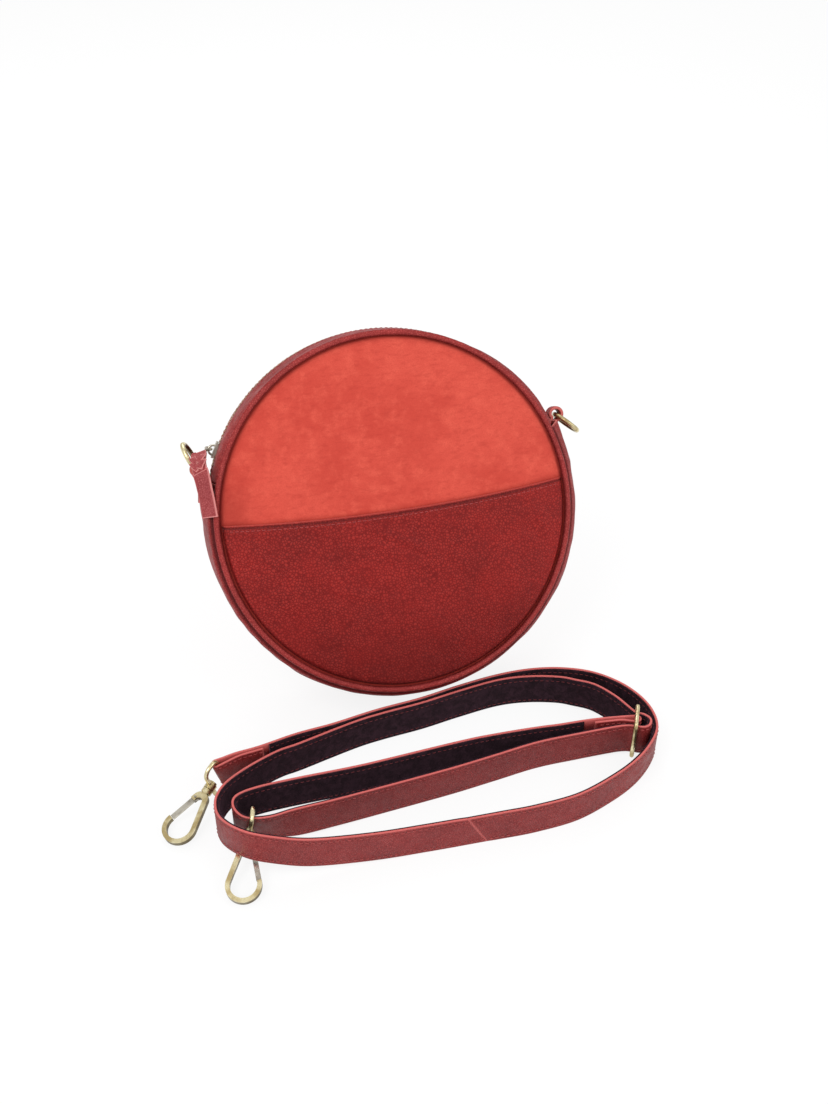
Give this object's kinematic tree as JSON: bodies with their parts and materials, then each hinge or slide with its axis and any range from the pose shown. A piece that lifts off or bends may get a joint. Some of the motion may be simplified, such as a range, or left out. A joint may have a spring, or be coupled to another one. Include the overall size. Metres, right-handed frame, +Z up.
{
  "type": "circle bag",
  "caption": "Round shoulder bag with zipped gusset, slip pocket, two side rings and a detached strap with snap hooks.",
  "frame": {"origin": "middle of the whole set's box at the surface it stands on", "axes": "+Z up, +X to the right and longest, -Y towards the strap that lies before the bag; the bag's face looks to -Y and up"},
  "size_m": [0.3065, 0.2776, 0.2226],
  "materials": {
    "suede": "napped suede, orange red",
    "pocket_leather": "pebbled leather, deep red, low sheen",
    "band_leather": "smooth leather, dusty red, soft sheen",
    "pull_leather": "fine grained leather, rose red",
    "strap_leather": "fine grained leather, dull red with paler cut edges",
    "strap_lining": "napped dark lining, matt",
    "zip_tape": "woven tape, matt",
    "cloth_lining": "woven cloth, matt",
    "aged_brass": "aged pale brass, polished",
    "gate_steel": "darkened steel"
  },
  "bodies": {
    "bag": {"front_panel": "suede", "front_pocket": "pocket_leather", "back_panel": "pocket_leather", "front_piping": "band_leather", "back_piping": "band_leather", "lower_gusset": "band_leather", "zip_strip_front": "band_leather", "zip_strip_back": "band_leather", "zip_tape_front": "zip_tape", "zip_tape_back": "zip_tape", "zip_teeth_front": "aged_brass", "zip_teeth_back": "aged_brass", "zip_stops": "aged_brass", "front_lining": "cloth_lining", "back_lining": "cloth_lining", "gusset_lining": "cloth_lining", "left_loop": "pull_leather", "right_loop": "pull_leather"},
    "zip_slider": {"zip_slider": "aged_brass"},
    "zip_puller": {"zip_puller": "aged_brass"},
    "pull": {"pull_plait": "pull_leather", "pull_tail": "pull_leather"},
    "left_ring": {"left_ring": "aged_brass"},
    "right_ring": {"right_ring": "aged_brass"},
    "strap": {"strap_leather_long": "strap_leather", "strap_leather_short": "strap_leather", "strap_lining": "strap_lining"},
    "strap_slider": {"strap_slider": "aged_brass"},
    "hook_eye_left_body": {"hook_eye_left": "aged_brass"},
    "hook_left": {"hook_post_left": "aged_brass", "hook_frame_left": "aged_brass", "hook_gate_pin_left": "gate_steel"},
    "gate_left": {"hook_gate_left": "gate_steel"},
    "hook_eye_right_body": {"hook_eye_right": "aged_brass"},
    "hook_right": {"hook_post_right": "aged_brass", "hook_frame_right": "aged_brass", "hook_gate_pin_right": "gate_steel"},
    "gate_right": {"hook_gate_right": "gate_steel"}
  },
  "joints": [
    {"name": "zip_slide", "type": "hinge", "parent": "bag", "child": "zip_slider", "pos_m": [0.0152, 0.05616, 0.11113], "axis": [0, -0.8625, 0.506], "range_deg": [-125, 0]},
    {"name": "puller_swing", "type": "hinge", "parent": "zip_slider", "child": "zip_puller", "pos_m": [-0.09123, 0.08338, 0.15753], "axis": [-0.4555, -0.4505, -0.7678], "range_deg": [0, 8]},
    {"name": "pull_swing", "type": "hinge", "parent": "zip_puller", "child": "pull", "pos_m": [-0.09722, 0.07188, 0.16164], "axis": [-0.8807, 0.3415, -0.3281], "range_deg": [0, 60]},
    {"name": "left_ring_swing", "type": "hinge", "parent": "bag", "child": "left_ring", "pos_m": [-0.09963, 0.07731, 0.14718], "axis": [0, -0.8625, 0.506], "range_deg": [-5, 115]},
    {"name": "right_ring_swing", "type": "hinge", "parent": "bag", "child": "right_ring", "pos_m": [0.13234, 0.07951, 0.15093], "axis": [0, -0.8625, 0.506], "range_deg": [-35, 150]},
    {"name": "strap_lift", "type": "slide", "parent": "bag", "child": "strap", "axis": [0, 0, 1], "range_m": [0, 0.3]},
    {"name": "strap_slider_turn", "type": "hinge", "parent": "strap", "child": "strap_slider", "pos_m": [0.1384, -0.07985, 0.0152], "axis": [0, 0, 1], "range_deg": [-3, 3]},
    {"name": "hook_eye_left_swing", "type": "hinge", "parent": "strap", "child": "hook_eye_left_body", "pos_m": [-0.1141, -0.05155, 0.0165], "axis": [-0.2075, -0.1915, 0.9593], "range_deg": [-40, 8]},
    {"name": "hook_left_swivel", "type": "hinge", "parent": "hook_eye_left_body", "child": "hook_left", "pos_m": [-0.12256, -0.05936, 0.01311], "axis": [-0.705, -0.6506, -0.2823], "continuous": true},
    {"name": "gate_left_swing", "type": "hinge", "parent": "hook_left", "child": "gate_left", "pos_m": [-0.13093, -0.06273, 0.01063], "axis": [-0.2075, -0.1915, 0.9593], "range_deg": [0, 22], "stiffness_Nm_per_rad": 0.02, "springref_deg": -28.65},
    {"name": "hook_eye_right_swing", "type": "hinge", "parent": "strap", "child": "hook_eye_right_body", "pos_m": [-0.1023, -0.09095, 0.0178], "axis": [0.1217, -0.339, 0.9329], "range_deg": [-1.5, 5]},
    {"name": "hook_right_swivel", "type": "hinge", "parent": "hook_eye_right_body", "child": "hook_right", "pos_m": [-0.10536, -0.10198, 0.01419], "axis": [-0.2549, -0.919, -0.3007], "range_deg": [-4, 4]},
    {"name": "gate_right_swing", "type": "hinge", "parent": "hook_right", "child": "gate_right", "pos_m": [-0.10452, -0.11092, 0.01154], "axis": [0.0804, 0.2898, -0.9537], "range_deg": [0, 22], "stiffness_Nm_per_rad": 0.02, "springref_deg": -28.65}
  ]
}
